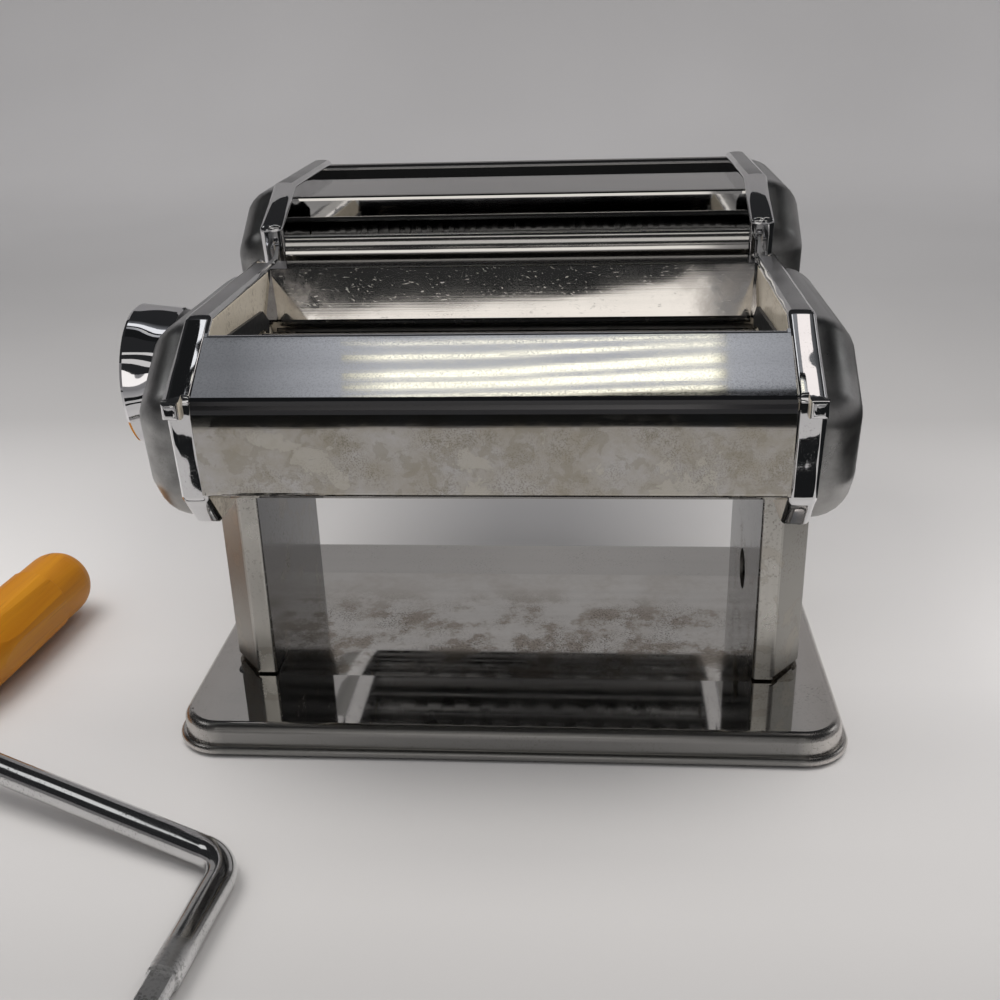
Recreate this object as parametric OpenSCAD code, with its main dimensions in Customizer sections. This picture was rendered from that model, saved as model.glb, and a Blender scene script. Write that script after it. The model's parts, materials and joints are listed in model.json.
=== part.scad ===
// Hand cranked pasta machine: stand, sheet roller head, lift-off cutter head and a crank lying beside it.
// Millimetres. X runs along the rollers, Y away from the user, Z up, with the origin on the table top.

/* [Base] */
// Width of the base over its bead
base_w = 211; // [206:1:240]
// Depth of the base over its bead
base_d = 137; // [127:1:170]
// Middle of the base in front of the legs' middle
base_y = -0.5; // [-6:0.5:6]
// Height of the base's top above the table
base_h = 10.5; // [8.5:0.5:16]
// Corner radius of the base over its bead
base_corner = 15; // [10:0.5:25]
// Sheet thickness of the base
base_sheet = 1.2; // [0.8:0.1:1.6]
// Diameter of the rolled bead along the base's lower edge
base_bead = 3; // [2:0.1:4]
// Inset of the base's wall from its bead
base_step = 2; // [1:0.1:2.5]
// Radius of the base's top edge
base_shoulder = 3; // [2:0.1:4]
// Height of the rubber feet under the bead
foot_drop = 0.6; // [0.4:0.1:2]
// Diameter of a rubber foot
foot_d = 16; // [10:1:20]
// Thickness of the stand's web sheet
web_t = 0.8; // [0.6:0.1:1.5]
// Corner radius of the stand's web sheet
web_corner = 3; // [1:0.5:6]

/* [Legs] */
// Depth of a leg
leg_d = 73; // [60:1:80]
// Width of a leg
leg_w = 16.5; // [14:0.5:18]
// Width of a leg's flat front strip
leg_strip = 6.6; // [5:0.1:8]
// Depth of a leg's chamfered front corner
leg_chamfer = 12; // [8:0.5:16]
// Sheet thickness of a leg
leg_sheet = 1.2; // [0.8:0.1:2]
// Thickness of a leg's floor and roof plates
leg_plate = 1.8; // [1.6:0.1:3]
// Height of the slit under a leg's outer skin
leg_slit = 0.9; // [0.4:0.1:1.2]
// Diameter of the table clamp's hole in the right leg
clamp_d = 14; // [8:0.5:20]
// Height of the clamp hole above the table
clamp_z = 33; // [26:1:60]
// Thread diameter of the stand's screws
screw_d = 4; // [3:0.5:5]
// Distance between the two screws of a leg's end
screw_pitch = 36; // [24:1:46]

/* [Heads] */
// Length of the rollers
roller_len = 150; // [140:1:160]
// Space between a roller's end and its frame
end_play = 2.4; // [1.5:0.1:3]
// Thickness of an end frame's web
frame_web = 3.3; // [2.5:0.1:4]
// Width of an end frame over its rim
frame_w = 7.9; // [7.4:0.1:9]
// Thickness of an end frame's rim
rim_t = 3; // [2:0.1:3.4]
// Height of an end cap's dome
cap_depth = 11.6; // [11:0.1:12.5]
// Thickness of an end cap's outer face
cap_wall = 3; // [2.6:0.1:3.4]
// Inset of an end cap from its frame's outline
cap_inset = 2.2; // [1:0.1:3]
// Thickness of the cover sheets
cover_t = 0.8; // [0.5:0.1:1.2]
// Width of the nib on an end frame's nose
nib_w = 4.8; // [3:0.1:7]
// Body diameter of the tie rods between the frames
rod_body_d = 8; // [7:0.5:8]
// Thread diameter of the tie rods
rod_thread_d = 5; // [4:0.5:6]

/* [Sheet rollers] */
// Diameter of the sheet rollers
roller_d = 25; // [24:0.5:26]
// Smallest gap between the sheet rollers
gap_min = 0.5; // [0.3:0.1:1]
// Travel of the gap roller away from the drive roller
gap_travel = 2.5; // [1.5:0.1:3]
// Height of the sheet rollers' axes
roller_z = 110; // [109:0.5:111]
// Place of the drive roller's axis
drive_y = -46.75; // [-48:0.25:-46]
// Diameter of all roller journals
journal_d = 13; // [12:0.5:13]
// Teeth of a sheet roller's gear
roller_teeth = 17; // [15:1:20]
// Face width of all gears
gear_w = 5.6; // [4:0.1:6]
// Diameter of the crank sockets
socket_d = 8.7; // [7.5:0.1:9]
// Depth of the crank sockets
socket_depth = 18; // [12:1:30]

/* [Gap selector] */
// Largest radius of the scroll groove
scroll_r = 11; // [10:0.1:11.5]
// Turn of the knob over its range
select_turn = 270; // [180:10:300]
// Number of settings on the index plate
settings = 10; // [6:1:12]
// Outer radius of the knob
knob_r = 22.3; // [20:0.1:24]
// Length of the knob
knob_len = 14.5; // [14.5:0.5:18]
// Taper of the knob's rim towards the body
knob_taper = 1.5; // [0:0.1:2.5]
// Pull of the knob that frees its detent pin
knob_pull = 3; // [2:0.1:3.5]
// Diameter of the knob's spindle
spindle_d = 10; // [8:0.5:11]
// Wire diameter of the knob's spring
spring_wire = 0.8; // [0.6:0.05:0.9]
// Turns of the knob's spring
spring_turns = 4; // [3:0.5:4.5]

/* [Cutter head] */
// Outer diameter of the cutter rings
ring_d = 20.8; // [20.4:0.1:21]
// Distance between the axes of a cutter pair
cutter_pitch = 20; // [19.8:0.05:20.2]
// Diameter of the cutter rollers between their rings
core_d = 18.4; // [17.5:0.1:18.6]
// Width of the narrow strands
narrow_w = 2; // [1.8:0.1:3]
// Width of the wide strands
wide_w = 6.5; // [5:0.1:8]
// Side clearance between meshing rings
ring_clear = 0.1; // [0.06:0.02:0.2]
// Teeth of a cutter gear
cutter_teeth = 16; // [14:1:18]
// Height of the cutter rollers' axes
cutter_z = 126; // [125:0.5:127]
// Distance from the head's middle to each nip
nip_off = 22.3; // [21.8:0.1:22.8]

/* [Crank] */
// Diameter of the crank's rod
crank_d = 8.5; // [7:0.1:8.6]
// Distance between the crank's socket leg and its grip
crank_throw = 122; // [90:1:150]
// Lean of the crank's arm towards the grip
crank_rake = 33; // [0:0.5:40]
// Length of the socket leg from the bend
crank_leg = 63; // [50:1:90]
// Length of the stepped end on the socket leg
crank_end = 22; // [14:1:30]
// Depth of the flat on the stepped end
crank_flat = 1.2; // [0.6:0.1:2]
// Radius of the crank's bends at the rod's middle
crank_bend = 11; // [8:0.5:14]
// Greatest diameter of the grip
grip_d = 27; // [22:0.5:32]
// Length of the grip
grip_len = 84; // [78:1:120]
// Distance across the grip's eight flats
grip_flats = 25.6; // [25.2:0.1:27]
// Distance from the arm to the grip
grip_off = 20; // [18:1:40]
// Place of the crank's lower bend on the table
crank_at = [-70.4, -120.7];
// Direction of the grip on the table, turned from +X
crank_heading = 84.1; // [70:0.1:95]

/* [Hidden] */
$fn = 64;
dome_fn = 30;

// Clearances
press = 0.02;
run = 0.05;
slip = 0.15;
free = 0.3;
over = 1;
far = 500;

// Across the machine
body_in = roller_len / 2 + end_play;
web_x = body_in + frame_web;
rim_x = body_in + frame_w;
rim_mid = body_in + frame_w / 2;
cap_x = rim_x + cap_depth;
cavity_x = cap_x - cap_wall;
shaft_x = cap_x - over;
gear_x = rim_x + 0.7;
collar_x = body_in - free;
leg_set = 0.6;
leg_x = body_in + leg_set;
frame_screw_x = leg_x + leg_sheet + 0.85 * screw_d;

// Heights of the stand
web_z = base_h + web_t;
foot_top = base_h - base_sheet;

// Profile of the roller head as (y, z)
head_bottom = 82;
head_top = 137.8;
head_rear = 18;
ledge_z = 102;
ledge_rear = 46;
nose_y = -82;
nose_low = 117;
nose_high = 122;
nose_block = 3;
low_y = -79.5;
low_z = 92.5;
heel_y = -71;
brow_y = -57.5;
head_outline = [
  [heel_y, head_bottom], [head_rear, head_bottom], [head_rear, head_top], [brow_y, head_top],
  [nose_y, nose_high], [nose_y, nose_low], [low_y, low_z]
];
cap_drop = cap_inset - 0.2;
cap_hollow = 5.65;
head_cap = [
  [heel_y, head_bottom - cap_drop], [head_rear, head_bottom - cap_drop], [head_rear, head_top],
  [brow_y, head_top], [nose_y - 1, (nose_low + nose_high) / 2], [low_y, low_z]
];

// Profile of the cutter head as (y, z), the same in front and behind its middle
cut_mid = 78.5;
cut_bottom = ledge_z + slip;
cut_top = 158;
cut_half_top = 30;
cut_half_nose = 54.5;
cut_half_chin = 53;
cut_half_low = 50;
cut_half_heel = 41.5;
cut_nose_z = 147;
cut_chin_z = 136.6;
cut_low_z = 112.5;
cut_side = [
  [cut_half_heel, cut_bottom], [cut_half_low, cut_low_z], [cut_half_chin, cut_chin_z],
  [cut_half_nose, cut_nose_z], [cut_half_top, cut_top]
];
cut_cap_side = [
  [cut_half_heel, cut_bottom], [cut_half_low, cut_low_z],
  [cut_half_nose - 0.5, (cut_nose_z + cut_chin_z) / 2], [cut_half_top, cut_top]
];
function both_sides(side) = concat(
  [for (p = side) [cut_mid + p[0], p[1]]],
  [for (i = [len(side) - 1 : -1 : 0]) [cut_mid - side[i][0], side[i][1]]]
);
cut_outline = both_sides(cut_side);
cut_cap = both_sides(cut_cap_side);

// Sheet rollers and the sliding carriage of the gap roller
roller_r = roller_d / 2;
journal_r = journal_d / 2;
gap_y = drive_y + roller_d + gap_min;
roller_pitch = gap_y - drive_y;
roller_module = roller_pitch / roller_teeth;
collar_r = journal_r + 2.5;
bush_r = journal_r + 2;
flange_r = bush_r + 1;
flange_t = 1.5;
block_x0 = web_x + free;
block_x1 = rim_x - free;
block_half = 9;
block_front = 14.6;
bar_off = 20.25;
bar_r = 3;
block_rear = bar_off + bar_r + 2;
bar_y = gap_y + bar_off;
guide_t = 3;
tie_points = [[-72, 112], [5.6, 128.5], [5, 93]];
nut_t = 3.6;
nut_r = 4.6;
rod_r = rod_thread_d / 2;
rod_end = web_x + nut_t + 0.3;

// Docking tongue of the cutter head in the rear column of the roller head
column_y = 10.5;
tongue_neck = 1.15;
tongue_head = 2.45;
tongue_y0 = 12.2;
tongue_y1 = 14.6;
tongue_z0 = 113.5;
tongue_z1 = 136;
tongue_root = cut_mid - cut_half_low + 2.5;

// Gap selector along its spindle, on the left of the machine
spindle_r = spindle_d / 2;
pin_r = 1.9;
groove_half = pin_r + 0.25;
cam_r = scroll_r + 3.2;
cam_x0 = rim_x + 0.7;
cam_t = 3;
stop_t = 1.4;
stop_r = spindle_r + 3;
boss_x = cam_x0 + cam_t + stop_t + slip;
boss_r = spindle_r + 6;
sleeve_r = spindle_r + 2;
plate_t = 1;
plate_r = 15;
plate_x = cap_x + plate_t;
knob_gap = 0.9;
knob_x0 = plate_x + knob_gap;
knob_x1 = knob_x0 + knob_len;
knob_web0 = 1.5;
knob_web1 = 3.6;
knob_rim = 3.2;
knob_hub_r = spindle_r + 6;
spring_x0 = knob_x0 + knob_web1;
spring_len = knob_pull + 4;
spring_r = spindle_r + 2;
spring_gap = spring_len / spring_turns - spring_wire;
washer_x = spring_x0 + spring_len;
washer_t = 1;
index_r = 12;
detent_r = 1.5;
setting_step = select_turn / (settings - 1);
spindle_at = [gap_y, roller_z];

// Cutter pairs
ring_r = ring_d / 2;
core_r = core_d / 2;
cutter_module = cutter_pitch / cutter_teeth;
narrow_y = cut_mid - nip_off;
wide_y = cut_mid + nip_off;
narrow_drive_y = narrow_y - cutter_pitch / 2;
narrow_driven_y = narrow_y + cutter_pitch / 2;
wide_drive_y = wide_y + cutter_pitch / 2;
wide_driven_y = wide_y - cutter_pitch / 2;
cutter_axes = [narrow_drive_y, narrow_driven_y, wide_driven_y, wide_drive_y];
cut_tie_half = 39.5;
cut_tie_points = [[cut_mid - cut_tie_half, 112], [cut_mid + cut_tie_half, 112], [cut_mid, 148]];

// Crank, its grip held clear by the rod's slope
crank_r = crank_d / 2;
grip_r = grip_d / 2;
spindle_wire = crank_r - 1;
lap = 0.6;
bend_swell = 0.06;
arm_angle = atan2(crank_throw, crank_rake);
arm_len = norm([crank_rake, crank_throw]);
crank_tilt = asin((grip_r + 0.1 - crank_r) / crank_throw);

// Gear teeth
pressure = 20;
gear_slack = 0.5;
flank_steps = 4;

function unit(v) = v / norm(v);
function left_of(a, b) = let(u = unit(b - a)) [-u[1], u[0]];
function mitre(n, m, t) = t * (n + m) / (1 + n * m);

// Closed outline moved inwards by t, counter-clockwise
function inset(p, t) = let(n = len(p)) [
  for (i = [0 : n - 1])
    p[i] + mitre(left_of(p[(i + n - 1) % n], p[i]), left_of(p[i], p[(i + 1) % n]), t)
];

// Path with its corners rounded by short curves that start a distance r, or r[i], from corner i
function bent(p, r, steps = 4) = [
  for (i = [0 : len(p) - 1])
    let(inner = i > 0 && i < len(p) - 1, q = is_list(r) ? r[i] : r)
    for (s = [0 : inner ? steps : 0])
      inner
        ? let(k = s / steps, a = p[i] + q * unit(p[i - 1] - p[i]), b = p[i] + q * unit(p[i + 1] - p[i]))
          (1 - k) * (1 - k) * a + 2 * k * (1 - k) * p[i] + k * k * b
        : p[i]
];

// Outline of a sheet of thickness t on the left of a path
function sheet(p, t) = let(n = len(p)) concat(p, [
  for (i = [n - 1 : -1 : 0])
    let(a = left_of(p[max(i - 1, 0)], p[max(i, 1)]), b = left_of(p[min(i, n - 2)], p[min(i + 1, n - 1)]))
    p[i] + mitre(a, b, t)
]);

function polar(r, a) = r * [cos(a), sin(a)];
function involute_deg(a) = tan(a) * 180 / PI - a;
function flank(m, teeth, r) = 90 / teeth - gear_slack + involute_deg(pressure)
  - involute_deg(acos(min(1, m * teeth * cos(pressure) / 2 / r)));
function tooth(m, teeth, at) =
  let(
    root = m * teeth / 2 - 1.2 * m,
    tip = m * teeth / 2 + 0.95 * m,
    start = max(root, m * teeth * cos(pressure) / 2),
    radii = [for (s = [0 : flank_steps]) start + (tip - start) * s / flank_steps]
  )
  concat(
    [polar(root, at - flank(m, teeth, start))],
    [for (r = radii) polar(r, at - flank(m, teeth, r))],
    [for (i = [flank_steps : -1 : 0]) polar(radii[i], at + flank(m, teeth, radii[i]))],
    [polar(root, at + flank(m, teeth, start))]
  );

// Extrudes a (y, z) outline along X
module along_x(x0, x1) {
  translate([x0, 0, 0]) rotate([90, 0, 90]) linear_extrude(x1 - x0) children();
}

// Round bar along X at (y, z)
module bar_x(x0, x1, at, r) {
  translate([x0, at[0], at[1]]) rotate([0, 90, 0]) cylinder(h = x1 - x0, r = r);
}

// Slot along Y with round ends
module slot_x(x0, x1, at, r, travel) {
  bar_x(x0, x1, at, r);
  bar_x(x0, x1, at + [travel, 0], r);
  translate([x0, at[0], at[1] - r]) cube([x1 - x0, travel, 2 * r]);
}

module on_left() {
  mirror([1, 0, 0]) children();
}

module both_ends() {
  children();
  on_left() children();
}

module rounded_plate(w, d, r, h) {
  linear_extrude(h) {
    square([w - 2 * r, d], center = true);
    square([w, d - 2 * r], center = true);
    for (x = [-1, 1], y = [-1, 1])
      translate([x * (w / 2 - r), y * (d / 2 - r)]) circle(r);
  }
}

// Section of the base's edge, with zero at the bead's outer side
module base_section() {
  translate([-base_bead / 2, foot_drop + base_bead / 2]) circle(d = base_bead);
  translate([-base_step - base_sheet, foot_drop + base_bead / 2])
    square([base_sheet, base_h - base_shoulder - foot_drop - base_bead / 2]);
  translate([-base_step - base_shoulder, base_h - base_shoulder])
    intersection() {
      difference() {
        circle(base_shoulder);
        circle(base_shoulder - base_sheet);
      }
      square(base_shoulder + over);
    }
}

module base_side(length, out) {
  translate([length / 2, out, 0]) rotate([90, 0, -90]) mirror([1, 0, 0])
    linear_extrude(length) base_section();
}

module base_plate() {
  color("silver") translate([0, base_y, 0]) difference() {
    union() {
      for (turn = [0, 180]) rotate(turn) {
        base_side(base_w - 2 * base_corner, base_d / 2);
        rotate(90) base_side(base_d - 2 * base_corner, base_w / 2);
      }
      for (x = [0, 1], y = [0, 1]) mirror([x, 0, 0]) mirror([0, y, 0])
        translate([base_w / 2 - base_corner, base_d / 2 - base_corner, 0])
          rotate_extrude(angle = 90) translate([base_corner, 0]) base_section();
      translate([0, 0, foot_top])
        rounded_plate(base_w - 2 * (base_step + base_shoulder), base_d - 2 * (base_step + base_shoulder),
          base_corner - base_step - base_shoulder, base_sheet);
    }
    translate([0, -base_y, 0]) leg_screw_places()
      translate([0, 0, foot_top - over]) cylinder(h = base_sheet + 2 * over, d = screw_d + 0.2);
  }
}

module leg_screw_places() {
  for (x = [-1, 1], y = [-1, 1])
    translate([x * (leg_x + leg_w / 2), y * screw_pitch / 2, 0]) children();
}

module frame_screw_places() {
  for (x = [-1, 1], y = [-1, 1])
    translate([x * frame_screw_x, y * screw_pitch / 2, 0]) children();
}

module base_feet() {
  foot_in = base_corner + 6;
  color("dimgray") for (x = [-1, 1], y = [-1, 1])
    translate([x * (base_w / 2 - foot_in), base_y + y * (base_d / 2 - foot_in), 0])
      cylinder(h = foot_top, d = foot_d);
}

module stand_web() {
  web_set = 2.7;
  web_w = 2 * (leg_x + leg_w - web_set);
  color("gainsboro") difference() {
    translate([0, 0, base_h]) rounded_plate(web_w, leg_d, web_corner, web_t);
    leg_screw_places() translate([0, 0, base_h - over]) cylinder(h = web_t + 2 * over, d = screw_d + 0.2);
  }
}

leg_outline = [
  [leg_x, -leg_d / 2], [leg_x + leg_strip, -leg_d / 2], [leg_x + leg_w, leg_chamfer - leg_d / 2],
  [leg_x + leg_w, leg_d / 2 - leg_chamfer], [leg_x + leg_strip, leg_d / 2], [leg_x, leg_d / 2]
];

// Outer skin of a leg, seen from above, without its inner panel and its front strip
module leg_skin() {
  difference() {
    polygon(inset(leg_outline, -over));
    polygon(inset(leg_outline, leg_sheet));
    translate([leg_x + leg_strip - far, -far]) square([far, 2 * far]);
  }
}

module leg() {
  difference() {
    translate([0, 0, web_z]) linear_extrude(head_bottom - web_z) polygon(leg_outline);
    translate([0, 0, web_z + leg_plate])
      linear_extrude(head_bottom - web_z - 2 * leg_plate) polygon(inset(leg_outline, leg_sheet));
    translate([0, 0, web_z - over]) linear_extrude(over + leg_slit) leg_skin();
    leg_screw_places() translate([0, 0, web_z - over]) cylinder(h = leg_plate + 2 * over, d = screw_d + 0.1);
    frame_screw_places() translate([0, 0, head_bottom - leg_plate - over])
      cylinder(h = leg_plate + 2 * over, d = screw_d + 0.1);
  }
}

module left_leg() {
  color("lightgray") on_left() leg();
}

module right_leg() {
  color("lightgray") difference() {
    leg();
    bar_x(leg_x - over, leg_x + leg_sheet + over, [0, clamp_z], clamp_d / 2);
  }
}

module stand_screws() {
  head_h = 2;
  grip_h = base_sheet + web_t + leg_plate;
  color("gray") {
    leg_screw_places() translate([0, 0, foot_top - head_h]) {
      cylinder(h = head_h, d = 1.8 * screw_d);
      cylinder(h = 2 * head_h + grip_h, d = screw_d);
    }
    frame_screw_places() translate([0, 0, head_bottom - leg_plate - head_h]) {
      cylinder(h = head_h, d = 1.6 * screw_d);
      cylinder(h = head_h + leg_plate + rim_t - 0.4, d = screw_d);
    }
  }
}

// Web and rim of an end frame from its outline
module tray(outline) {
  along_x(body_in, web_x) polygon(outline);
  along_x(body_in, rim_x) difference() {
    polygon(outline);
    polygon(inset(outline, rim_t));
  }
}

module end_frame() {
  difference() {
    union() {
      tray(head_outline);
      along_x(body_in, rim_x) translate([column_y, head_bottom])
        square([head_rear - column_y, head_top - head_bottom]);
      along_x(body_in, rim_x) translate([column_y, head_bottom])
        square([ledge_rear - column_y, ledge_z - head_bottom]);
      along_x(rim_x - nib_w, rim_x) translate([nose_y - nose_block, nose_low])
        square([nose_block + over, nose_high - nose_low]);
      for (side = [-1, 1])
        along_x(body_in, block_x1)
          translate([gap_y - block_front, roller_z + side * (block_half + slip + guide_t / 2) - guide_t / 2])
            square([block_front + block_rear, guide_t]);
    }
    bar_x(body_in - over, rim_x, [drive_y, roller_z], bush_r + press);
    slot_x(body_in - over, web_x + over, [gap_y, roller_z], journal_r + 2 * free, gap_travel);
    slot_x(body_in - over, web_x + over, [bar_y, roller_z], bar_r + free, gap_travel);
    for (p = tie_points) bar_x(body_in - over, web_x + over, p, rod_r + press);
    frame_screw_places() translate([0, 0, head_bottom - over])
      cylinder(h = rim_t + over - 0.1, d = screw_d + 0.1);
    translate([rim_mid - tongue_neck - slip, tongue_y1, tongue_z0 - over])
      cube([2 * (tongue_neck + slip), head_rear, head_top]);
    translate([rim_mid - tongue_head - slip, tongue_y0 - slip, tongue_z0 - over])
      cube([2 * (tongue_head + slip), tongue_y1 - tongue_y0 + 2 * slip, head_top]);
  }
}

module left_end_frame() {
  color("whitesmoke") on_left() end_frame();
}

module right_end_frame() {
  color("whitesmoke") end_frame();
}

// Domed cap over a frame: one smooth skin with a straight-walled hollow
module cap_shell(outline) {
  difference() {
    intersection() {
      hull() for (p = inset(outline, cap_inset + cap_depth))
        translate([rim_x, p[0], p[1]]) rotate([0, 90, 0]) sphere(cap_depth, $fn = dome_fn);
      translate([rim_x, -far, -far]) cube([2 * cap_depth, 2 * far, 2 * far]);
    }
    along_x(rim_x - over, cavity_x) polygon(inset(outline, cap_inset + cap_hollow));
  }
}

module left_end_cap() {
  color("lightgray") on_left() difference() {
    union() {
      cap_shell(head_cap);
      bar_x(boss_x, cavity_x + over / 2, spindle_at, boss_r);
    }
    bar_x(boss_x - over, cap_x + over, spindle_at, sleeve_r + press);
  }
}

module right_end_cap() {
  color("lightgray") difference() {
    cap_shell(head_cap);
    bar_x(rim_x, cap_x + over, [drive_y, roller_z], journal_r + 1.5);
  }
}

// Corners of the front cover, from its hem in the roller well to its lip under the nose
cover_hem = [-63.9, 132.6];
cover_top = [-65.4, 135.2];
cover_crease = [-84.8, 121.3];
cover_foot = [-83.8, 95.7];
cover_lip = [-77.5, 92.3];
cover_flange = 8;
cover_bend = 1.5;
crease_bend = 2.6;
cover_bends = [0, cover_bend, crease_bend, cover_bend, 0];

module front_cover() {
  cover_path = bent([cover_hem, cover_top, cover_crease, cover_foot, cover_lip], cover_bends);
  towards_sides = unit(cover_top - cover_crease) + unit(cover_foot - cover_crease);
  flange_nose = cover_crease + crease_bend / 4 * towards_sides;
  color("lightgray") {
    along_x(-body_in, body_in) polygon(sheet(cover_path, cover_t));
    both_ends() along_x(body_in - cover_t, body_in)
      polygon(sheet([cover_top, flange_nose, cover_foot], cover_flange));
  }
}

// Corners of the sloping plate behind the roller well
hopper_set = 15.6;
hopper_drop = 0.2;
hopper_clear = 18.95;
hopper_low = 10.8;
hem_run = 1.8;
hem_drop = 3;
tip_run = 7.9;
tip_rise = 2.1;
hopper_top = [head_rear - hopper_set, head_top - hopper_drop];
hopper_foot = [gap_y + hopper_clear, roller_z + hopper_low];
hopper_hem = hopper_foot + [hem_run, -hem_drop];
hopper_tip = hopper_foot + [-tip_run, tip_rise];

module hopper_plate() {
  path = bent([hopper_top, hopper_foot, hopper_hem], cover_bend);
  color("gainsboro") {
    along_x(-body_in, body_in) polygon(sheet(path, cover_t));
    both_ends() along_x(body_in - cover_t, body_in) polygon([hopper_top, hopper_tip, hopper_foot]);
  }
}

module rear_cover() {
  rear_y = head_rear - 1;
  rear_foot = [rear_y, head_bottom + 11];
  rear_lip = rear_foot - [6, 3];
  path = bent([rear_lip, rear_foot, [rear_y, hopper_top[1]], hopper_top + [cover_t + 0.4, 0]], cover_bend);
  color("lightgray") along_x(-body_in, body_in) polygon(sheet(path, cover_t));
}

module dough_guides() {
  guide_w = 1;
  reach = roller_r + 2 * free;
  guide_x1 = body_in - cover_t - 0.1;
  guide_x = guide_x1 - guide_w;
  guide_low = 8;
  guide_run = 10;
  guide_flare = 2;
  guide_front = 21;
  guide_knee = 14;
  guide_top = 18.4;
  guide_back = 6;
  guide_outline = [
    [drive_y - guide_run, roller_z + guide_low], [gap_y + guide_run, roller_z + guide_low],
    [gap_y + guide_run + guide_flare, roller_z + guide_knee], [gap_y + guide_back, roller_z + guide_top],
    [drive_y - guide_run - guide_flare, roller_z + guide_front]
  ];
  color("dimgray") both_ends() difference() {
    along_x(guide_x, guide_x1) polygon(guide_outline);
    bar_x(guide_x - over, body_in, [drive_y, roller_z], reach);
    slot_x(guide_x - over, body_in, [gap_y, roller_z], reach, gap_travel);
  }
}

module tie_rod(at) {
  bar_x(-body_in, body_in, at, rod_body_d / 2);
  bar_x(-rod_end, rod_end, at, rod_r);
}

module hex_nut(at) {
  difference() {
    translate([web_x, at[0], at[1]]) rotate([0, 90, 0]) cylinder(h = nut_t, r = nut_r, $fn = 6);
    bar_x(web_x - over, rim_x, at, rod_r + press);
  }
}

module tie_rods() {
  color("gray") for (p = tie_points) tie_rod(p);
}

module tie_rod_nuts() {
  color("gray") both_ends() for (p = tie_points) hex_nut(p);
}

module front_scraper() {
  blade = 0.6;
  tip_gap = 0.4;
  tip_angle = 249.5;
  knee_run = 6.7;
  knee_drop = 3.9;
  tail_run = 10;
  tail_rise = 2;
  tip = [drive_y, roller_z] + polar(roller_r + tip_gap, tip_angle);
  knee = tip - [knee_run, knee_drop];
  color("lightsteelblue") along_x(-body_in, body_in)
    polygon(sheet([tip, knee, knee + [-tail_run, tail_rise]], blade));
}

module flanged_bush(at) {
  difference() {
    union() {
      bar_x(body_in, web_x, at, bush_r);
      bar_x(web_x, web_x + flange_t, at, flange_r);
    }
    bar_x(body_in - over, rim_x, at, journal_r + run);
  }
}

module drive_bushes() {
  color("goldenrod") both_ends() flanged_bush([drive_y, roller_z]);
}

// Roller with collars and journals; the right journal can end in a crank socket
module roller_shaft(at, left_x, right_x, r) {
  bar_x(-roller_len / 2, roller_len / 2, at, r);
  bar_x(-collar_x, collar_x, at, collar_r);
  bar_x(-left_x, right_x, at, journal_r);
}

module socket(at) {
  bar_x(shaft_x - socket_depth, shaft_x + over, at, socket_d / 2);
}

module drive_roller() {
  color("silver") difference() {
    roller_shaft([drive_y, roller_z], web_x + flange_t, shaft_x, roller_r);
    socket([drive_y, roller_z]);
  }
}

module gear(at, m, teeth, first) {
  color("darkgray") difference() {
    translate([0, at[0], at[1]]) along_x(gear_x, gear_x + gear_w)
      polygon([for (k = [0 : teeth - 1]) each tooth(m, teeth, first + 360 * k / teeth)]);
    bar_x(gear_x - over, gear_x + gear_w + over, at, journal_r + press);
  }
}

module drive_gear() {
  gear([drive_y, roller_z], roller_module, roller_teeth, 0);
}

module gap_gear() {
  gear([gap_y, roller_z], roller_module, roller_teeth, 180 + 180 / roller_teeth);
}

module bearing_block() {
  difference() {
    along_x(block_x0, block_x1) translate([gap_y - block_front, roller_z - block_half])
      square([block_front + block_rear, 2 * block_half]);
    bar_x(block_x0 - over, block_x1 + over, spindle_at, bush_r + press);
    bar_x(block_x0 - over, block_x1 + over, [bar_y, roller_z], bar_r + press);
  }
}

module left_bearing_block() {
  color("darkgray") on_left() {
    bearing_block();
    bar_x(block_x1 - over, cam_x0 + cam_t - free, [gap_y - scroll_r, roller_z], pin_r);
  }
}

module right_bearing_block() {
  color("darkgray") bearing_block();
}

module carriage_bar() {
  color("gray") bar_x(-block_x1, block_x1, [bar_y, roller_z], bar_r);
}

module rear_scraper() {
  blade = 0.6;
  seat = bar_y - bar_r - run;
  tip = [gap_y + 3.85, roller_z - roller_r - 0.5];
  color("lightsteelblue") along_x(-collar_x, collar_x)
    polygon(sheet([tip, tip + [6.4, -1.5], [seat, roller_z - 6], [seat, roller_z + 2]], blade));
}

module gap_bushes() {
  color("goldenrod") both_ends() difference() {
    bar_x(block_x0, block_x1, spindle_at, bush_r);
    bar_x(block_x0 - over, block_x1 + over, spindle_at, journal_r + run);
  }
}

module gap_roller() {
  color("silver") roller_shaft([gap_y, roller_z], block_x1, gear_x + gear_w, roller_r);
}

module spindle_bush() {
  color("goldenrod") on_left() difference() {
    bar_x(boss_x, plate_x, spindle_at, sleeve_r);
    bar_x(boss_x - over, plate_x + over, spindle_at, spindle_r + run);
  }
}

module index_plate() {
  color("silver") on_left() difference() {
    bar_x(cap_x, plate_x, spindle_at, plate_r);
    bar_x(cap_x - over, plate_x + over, spindle_at, sleeve_r + press);
    for (k = [0 : settings - 1])
      bar_x(cap_x - over, plate_x + over, spindle_at + polar(index_r, 90 - k * setting_step),
        detent_r + free);
  }
}

module gap_spindle() {
  color("gray") on_left() {
    bar_x(cam_x0, washer_x, spindle_at, spindle_r);
    bar_x(cam_x0 + cam_t, cam_x0 + cam_t + stop_t, spindle_at, stop_r);
  }
}

// Spiral groove: its radius falls evenly as the knob is turned
function scroll(turn, side) =
  polar(scroll_r - gap_travel * turn / select_turn + side * groove_half, 180 + turn);
scroll_run = 14;
scroll_step = 4;

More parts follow.
